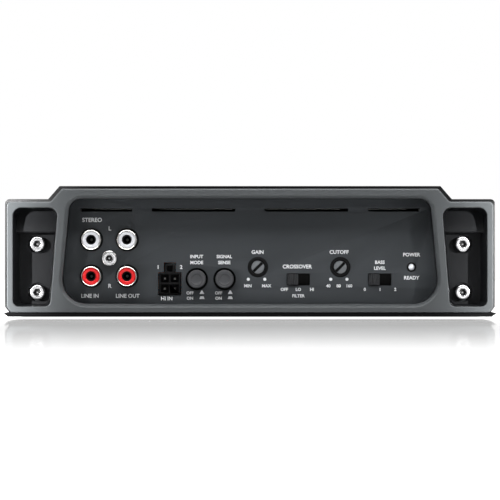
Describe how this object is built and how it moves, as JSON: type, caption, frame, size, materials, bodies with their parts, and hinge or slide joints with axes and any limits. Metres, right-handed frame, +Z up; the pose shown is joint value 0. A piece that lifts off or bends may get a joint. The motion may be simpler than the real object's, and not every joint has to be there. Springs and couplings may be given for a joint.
{
  "type": "car amplifier",
  "caption": "Low rectangular car audio amplifier with a finned heatsink body, stepped end frames with screw pockets, and a recessed panel of phono jacks, buttons, trimmers and slide switches.",
  "frame": {"origin": "centre of the bottom plate's underside", "axes": "+Z up, +X to the right as seen from the control end, which faces -Y; +Y towards the terminal end"},
  "size_m": [0.206, 0.26, 0.0548],
  "materials": {
    "charcoal_casting": "fine-textured charcoal metallic paint over a die casting",
    "black_anodised": "satin black anodised",
    "black_steel": "black powder coat",
    "panel_paint": "matte dark charcoal paint with white screen print",
    "bright_zinc": "bright zinc plate",
    "nickel": "nickel plate",
    "white_plastic": "moulded white",
    "red_plastic": "moulded red",
    "black_plastic": "moulded black, fine grain",
    "grey_plastic": "moulded dark grey",
    "rotor_grey": "moulded grey",
    "clear_lens": "clear lens",
    "board_green": "solder-masked circuit board",
    "enamelled_copper": "enamelled winding wire",
    "capacitor_sleeve": "shrink sleeve",
    "fuse_plastic": "translucent amber"
  },
  "bodies": {
    "amplifier_body": {"heatsink_chassis": "black_anodised", "bottom_plate": "black_steel", "front_end_frame": "charcoal_casting", "rear_end_frame": "charcoal_casting", "control_panel": "panel_paint", "terminal_panel": "panel_paint", "rca_block": "black_plastic", "rca_block_screw": "bright_zinc", "speaker_input_socket": "black_plastic", "power_led": "clear_lens", "main_board": "board_green", "power_transformer": "enamelled_copper", "transformer_clamp": "black_steel", "filter_choke": "enamelled_copper", "capacitor_front": "capacitor_sleeve", "capacitor_rear": "capacitor_sleeve", "output_transistor_left": "black_plastic", "output_transistor_right": "black_plastic", "transistor_clamp_left": "bright_zinc", "transistor_clamp_right": "bright_zinc", "power_terminal_block": "black_plastic", "speaker_terminal_block": "black_plastic", "fuse_holder": "black_plastic", "front_frame_screw_left_upper": "bright_zinc", "front_frame_screw_left_lower": "bright_zinc", "front_frame_screw_right_upper": "bright_zinc", "front_frame_screw_right_lower": "bright_zinc", "rear_frame_screw_left_upper": "bright_zinc", "rear_frame_screw_left_lower": "bright_zinc", "rear_frame_screw_right_upper": "bright_zinc", "rear_frame_screw_right_lower": "bright_zinc", "rca_shell_upper_left": "nickel", "rca_insulator_upper_left": "white_plastic", "rca_shell_upper_right": "nickel", "rca_insulator_upper_right": "white_plastic", "rca_shell_lower_left": "nickel", "rca_insulator_lower_left": "red_plastic", "rca_shell_lower_right": "nickel", "rca_insulator_lower_right": "red_plastic", "push_switch_left": "black_plastic", "push_switch_right": "black_plastic", "trim_body_level": "black_plastic", "trim_body_filter": "black_plastic", "slide_switch_filter": "black_plastic", "slide_switch_bass": "black_plastic", "power_terminal_screw_1": "bright_zinc", "power_terminal_screw_2": "bright_zinc", "power_terminal_screw_3": "bright_zinc", "speaker_terminal_screw_1": "bright_zinc", "speaker_terminal_screw_2": "bright_zinc", "speaker_terminal_screw_3": "bright_zinc", "speaker_terminal_screw_4": "bright_zinc"},
    "left_button": {"button_cap_left": "grey_plastic"},
    "right_button": {"button_cap_right": "grey_plastic"},
    "level_trim": {"trim_rotor_level": "rotor_grey"},
    "filter_trim": {"trim_rotor_filter": "rotor_grey"},
    "filter_slider": {"slider_filter": "black_plastic"},
    "bass_slider": {"slider_bass": "black_plastic"},
    "left_fuse": {"fuse_left": "fuse_plastic"},
    "right_fuse": {"fuse_right": "fuse_plastic"}
  },
  "joints": [
    {"name": "left_button_press", "type": "slide", "parent": "amplifier_body", "child": "left_button", "axis": [0, 1, 0], "range_m": [0, 0.0025], "stiffness_N_per_m": 400},
    {"name": "right_button_press", "type": "slide", "parent": "amplifier_body", "child": "right_button", "axis": [0, 1, 0], "range_m": [0, 0.0025], "stiffness_N_per_m": 400},
    {"name": "level_trim_turn", "type": "hinge", "parent": "amplifier_body", "child": "level_trim", "pos_m": [0.0033, -0.116, 0.0207], "axis": [0, 1, 0], "range_deg": [0, 270]},
    {"name": "filter_trim_turn", "type": "hinge", "parent": "amplifier_body", "child": "filter_trim", "pos_m": [0.0379, -0.116, 0.0207], "axis": [0, 1, 0], "range_deg": [0, 270]},
    {"name": "filter_slider_shift", "type": "slide", "parent": "amplifier_body", "child": "filter_slider", "axis": [1, 0, 0], "range_m": [0, 0.0046]},
    {"name": "bass_slider_shift", "type": "slide", "parent": "amplifier_body", "child": "bass_slider", "axis": [1, 0, 0], "range_m": [0, 0.0046]},
    {"name": "left_fuse_pull", "type": "slide", "parent": "amplifier_body", "child": "left_fuse", "axis": [0, 1, 0], "range_m": [0, 0.02]},
    {"name": "right_fuse_pull", "type": "slide", "parent": "amplifier_body", "child": "right_fuse", "axis": [0, 1, 0], "range_m": [0, 0.02]}
  ]
}
